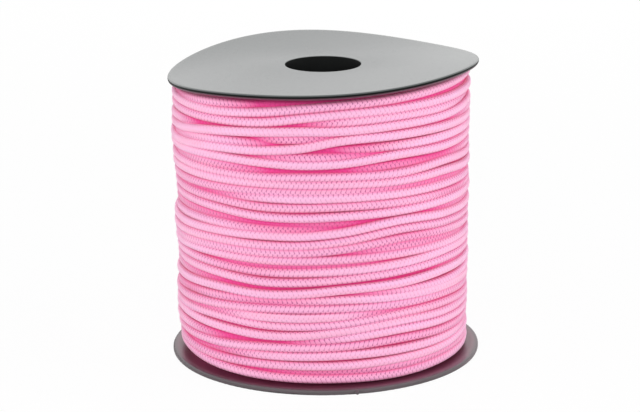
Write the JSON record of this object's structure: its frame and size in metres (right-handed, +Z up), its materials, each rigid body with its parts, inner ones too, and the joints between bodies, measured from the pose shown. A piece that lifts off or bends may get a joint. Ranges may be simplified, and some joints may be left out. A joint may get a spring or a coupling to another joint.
{
  "type": "cord spool",
  "caption": "Two-flange moulded spool with a through bore, wound full of braided cord in many layers.",
  "frame": {"origin": "centre of the lower flange's outer face, on the surface that the spool stands on", "axes": "+Z up along the spool's axis through the bore; the cord's two tucked ends are at the back, towards +Y"},
  "size_m": [0.08, 0.0802, 0.0754],
  "materials": {
    "spool_plastic": "glossy black moulded plastic",
    "core_plastic": "plain black moulded plastic",
    "braided_cord": "pink round hollow braid, two over and two under, slightly shiny"
  },
  "bodies": {
    "root": {"lower_flange": "spool_plastic", "upper_flange": "spool_plastic", "core_tube": "core_plastic", "cord_start": "braided_cord", "cord_inner_layers": "braided_cord", "cord_outer_layer": "braided_cord"}
  },
  "joints": []
}
